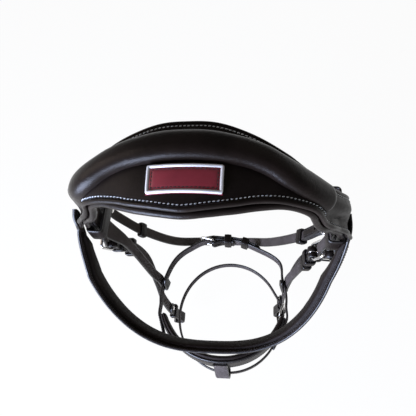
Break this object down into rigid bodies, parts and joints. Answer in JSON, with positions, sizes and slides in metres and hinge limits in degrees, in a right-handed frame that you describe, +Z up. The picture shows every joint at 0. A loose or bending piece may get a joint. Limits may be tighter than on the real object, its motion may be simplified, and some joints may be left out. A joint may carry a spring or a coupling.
{
  "type": "horse bridle",
  "caption": "Padded English horse bridle: shaped crownpiece with a stuffed roll and metal plate, browband, cheekpieces, throatlatch, and noseband with a flash strap.",
  "frame": {"origin": "middle of the flat land on the underside of the crown padding, where the bridle rests on the poll", "axes": "+Z up, -Y towards the wearer's nose, X across the head. Left and right in the names are those of someone in front of the bridle, as in the picture, so -X is left."},
  "size_m": [0.2517, 0.1946, 0.4884],
  "materials": {
    "black_leather": "smooth, waxed, satin",
    "soft_padding": "soft leather over foam, satin",
    "stainless_steel": "polished",
    "red_insert": "dull, stitched round its edge"
  },
  "bodies": {
    "crown": {"crown_cover": "black_leather", "crown_padding": "soft_padding", "crown_roll": "black_leather", "crown_front_piping": "black_leather", "crown_rear_piping": "black_leather", "badge_border": "stainless_steel", "badge_insert": "red_insert", "crown_tab_left": "black_leather", "crown_tab_right": "black_leather"},
    "browband": {"browband_leather": "black_leather", "browband_padding": "soft_padding", "browband_loop_left": "black_leather", "browband_loop_right": "black_leather"},
    "cheek_left": {"cheek_billet_left": "black_leather", "cheek_strap_left": "black_leather", "cheek_buckle_left": "stainless_steel", "cheek_keeper_left": "black_leather", "cheek_bit_keeper_left": "black_leather", "cheek_hook_stud_left": "stainless_steel"},
    "cheek_tongue_left": {"cheek_tongue_left": "stainless_steel"},
    "cheek_runner_left": {"cheek_runner_left": "black_leather"},
    "cheek_right": {"cheek_billet_right": "black_leather", "cheek_strap_right": "black_leather", "cheek_buckle_right": "stainless_steel", "cheek_keeper_right": "black_leather", "cheek_bit_keeper_right": "black_leather", "cheek_hook_stud_right": "stainless_steel"},
    "cheek_tongue_right": {"cheek_tongue_right": "stainless_steel"},
    "cheek_runner_right": {"cheek_runner_right": "black_leather"},
    "hangers": {"hanger_left": "black_leather", "hanger_billet": "black_leather", "hanger_right": "black_leather", "hanger_buckle": "stainless_steel", "hanger_keeper": "black_leather"},
    "hanger_tongue": {"hanger_tongue": "stainless_steel"},
    "hanger_runner": {"hanger_runner": "black_leather"},
    "noseband": {"nose_leather": "black_leather", "nose_padding": "soft_padding", "chin_billet": "black_leather", "chin_strap": "black_leather", "chin_buckle": "stainless_steel", "chin_keeper": "black_leather", "flash_tab": "black_leather"},
    "chin_tongue": {"chin_tongue": "stainless_steel"},
    "chin_runner": {"chin_runner": "black_leather"},
    "flash": {"flash_strap": "black_leather", "flash_buckle": "stainless_steel", "flash_keeper": "black_leather"},
    "flash_tongue": {"flash_tongue": "stainless_steel"},
    "throat": {"throat_strap": "black_leather", "throat_billet": "black_leather", "throat_buckle": "stainless_steel", "throat_keeper": "black_leather", "throat_rivet": "stainless_steel"},
    "throat_tongue": {"throat_tongue": "stainless_steel"},
    "throat_runner": {"throat_runner": "black_leather"}
  },
  "joints": [
    {"name": "browband_swing", "type": "hinge", "parent": "crown", "child": "browband", "pos_m": [0, 0.0165, -0.1113], "axis": [1, 0, 0], "range_deg": [-5, 5]},
    {"name": "cheek_swing_left", "type": "hinge", "parent": "crown", "child": "cheek_left", "pos_m": [-0.1079, 0.00781, -0.139], "axis": [-0.0006, -0.9996, 0.0269], "range_deg": [-12, 0]},
    {"name": "cheek_tongue_hinge_left", "type": "hinge", "parent": "cheek_left", "child": "cheek_tongue_left", "pos_m": [-0.10789, 0.01189, -0.16541], "axis": [0.01, -0.9681, -0.2503], "range_deg": [0, 20]},
    {"name": "cheek_runner_slide_left", "type": "slide", "parent": "cheek_left", "child": "cheek_runner_left", "axis": [0.1004, 0.179, -0.9787], "range_m": [-0.004, 0.004]},
    {"name": "cheek_swing_right", "type": "hinge", "parent": "crown", "child": "cheek_right", "pos_m": [0.1209, -0.0018, -0.139], "axis": [-0.0005, 0.9997, -0.026], "range_deg": [-12, 0]},
    {"name": "cheek_tongue_hinge_right", "type": "hinge", "parent": "cheek_right", "child": "cheek_tongue_right", "pos_m": [0.12049, 0.00246, -0.16528], "axis": [0.0239, 0.9586, 0.2837], "range_deg": [0, 20]},
    {"name": "cheek_runner_slide_right", "type": "slide", "parent": "cheek_right", "child": "cheek_runner_right", "axis": [-0.2125, 0.2382, -0.9477], "range_m": [-0.004, 0.004]},
    {"name": "hanger_swing", "type": "hinge", "parent": "crown", "child": "hangers", "pos_m": [0, 0.004, -0.119], "axis": [1, 0, 0], "range_deg": [-10, 0]},
    {"name": "hanger_tongue_hinge", "type": "hinge", "parent": "hangers", "child": "hanger_tongue", "pos_m": [0.10292, 0.00168, -0.16903], "axis": [-0.021, 0.996, 0.0865], "range_deg": [0, 12]},
    {"name": "hanger_runner_slide", "type": "slide", "parent": "hangers", "child": "hanger_runner", "axis": [-0.193, 0.084, -0.9776], "range_m": [-0.004, 0.004]},
    {"name": "noseband_nod", "type": "hinge", "parent": "hangers", "child": "noseband", "pos_m": [0, 0.0117, -0.304], "axis": [1, 0, 0], "range_deg": [-6, 6]},
    {"name": "chin_tongue_hinge", "type": "hinge", "parent": "noseband", "child": "chin_tongue", "pos_m": [-0.01384, 0.06542, -0.2917], "axis": [0.0249, 0.004, -0.9997], "range_deg": [0, 20]},
    {"name": "chin_runner_slide", "type": "slide", "parent": "noseband", "child": "chin_runner", "axis": [0.9452, -0.3224, -0.0516], "range_m": [-0.004, 0.004]},
    {"name": "flash_swing", "type": "hinge", "parent": "noseband", "child": "flash", "pos_m": [0.005, -0.092, -0.35622], "axis": [1, 0, 0], "range_deg": [-12, 6]},
    {"name": "flash_tongue_hinge", "type": "hinge", "parent": "flash", "child": "flash_tongue", "pos_m": [0.07322, -0.01584, -0.35393], "axis": [-0.0008, 0.03, -0.9996], "range_deg": [0, 20]},
    {"name": "throat_swing", "type": "hinge", "parent": "crown", "child": "throat", "pos_m": [0, 0.032, -0.139], "axis": [1, 0, 0], "range_deg": [0, 6]},
    {"name": "throat_tongue_hinge", "type": "hinge", "parent": "throat", "child": "throat_tongue", "pos_m": [0.11295, 0.02759, -0.16275], "axis": [0.0323, 0.9978, 0.0578], "range_deg": [0, 20]},
    {"name": "throat_runner_slide", "type": "slide", "parent": "throat", "child": "throat_runner", "axis": [-0.4421, 0.2383, -0.8647], "range_m": [-0.004, 0.004]}
  ]
}
